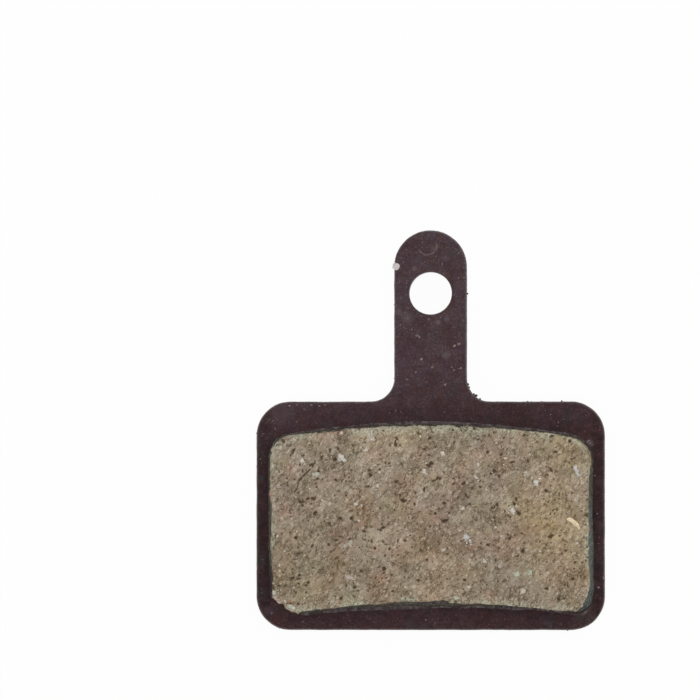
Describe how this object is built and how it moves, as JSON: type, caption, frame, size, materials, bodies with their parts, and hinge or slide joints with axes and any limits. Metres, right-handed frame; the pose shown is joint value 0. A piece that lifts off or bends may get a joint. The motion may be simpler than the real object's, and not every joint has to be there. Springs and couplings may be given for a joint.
{
  "type": "bicycle disc brake pad",
  "caption": "Flat bicycle disc brake pad: a coated steel backing plate with a pin-hole tab and a bonded, arched friction block that is pressed against the rotor.",
  "frame": {"origin": "centre of the pin hole, on the plate's back face, which the pad lies on", "axes": "+X across the plate to its right edge as seen from the friction face, +Y along the tab towards its round end, +Z from the back face to the friction face"},
  "size_m": [0.036, 0.0413, 0.004],
  "materials": {
    "plate_coat": "satin",
    "friction_compound": "matte"
  },
  "bodies": {
    "root": {"backing_plate": "plate_coat", "friction_block": "friction_compound"}
  },
  "joints": []
}
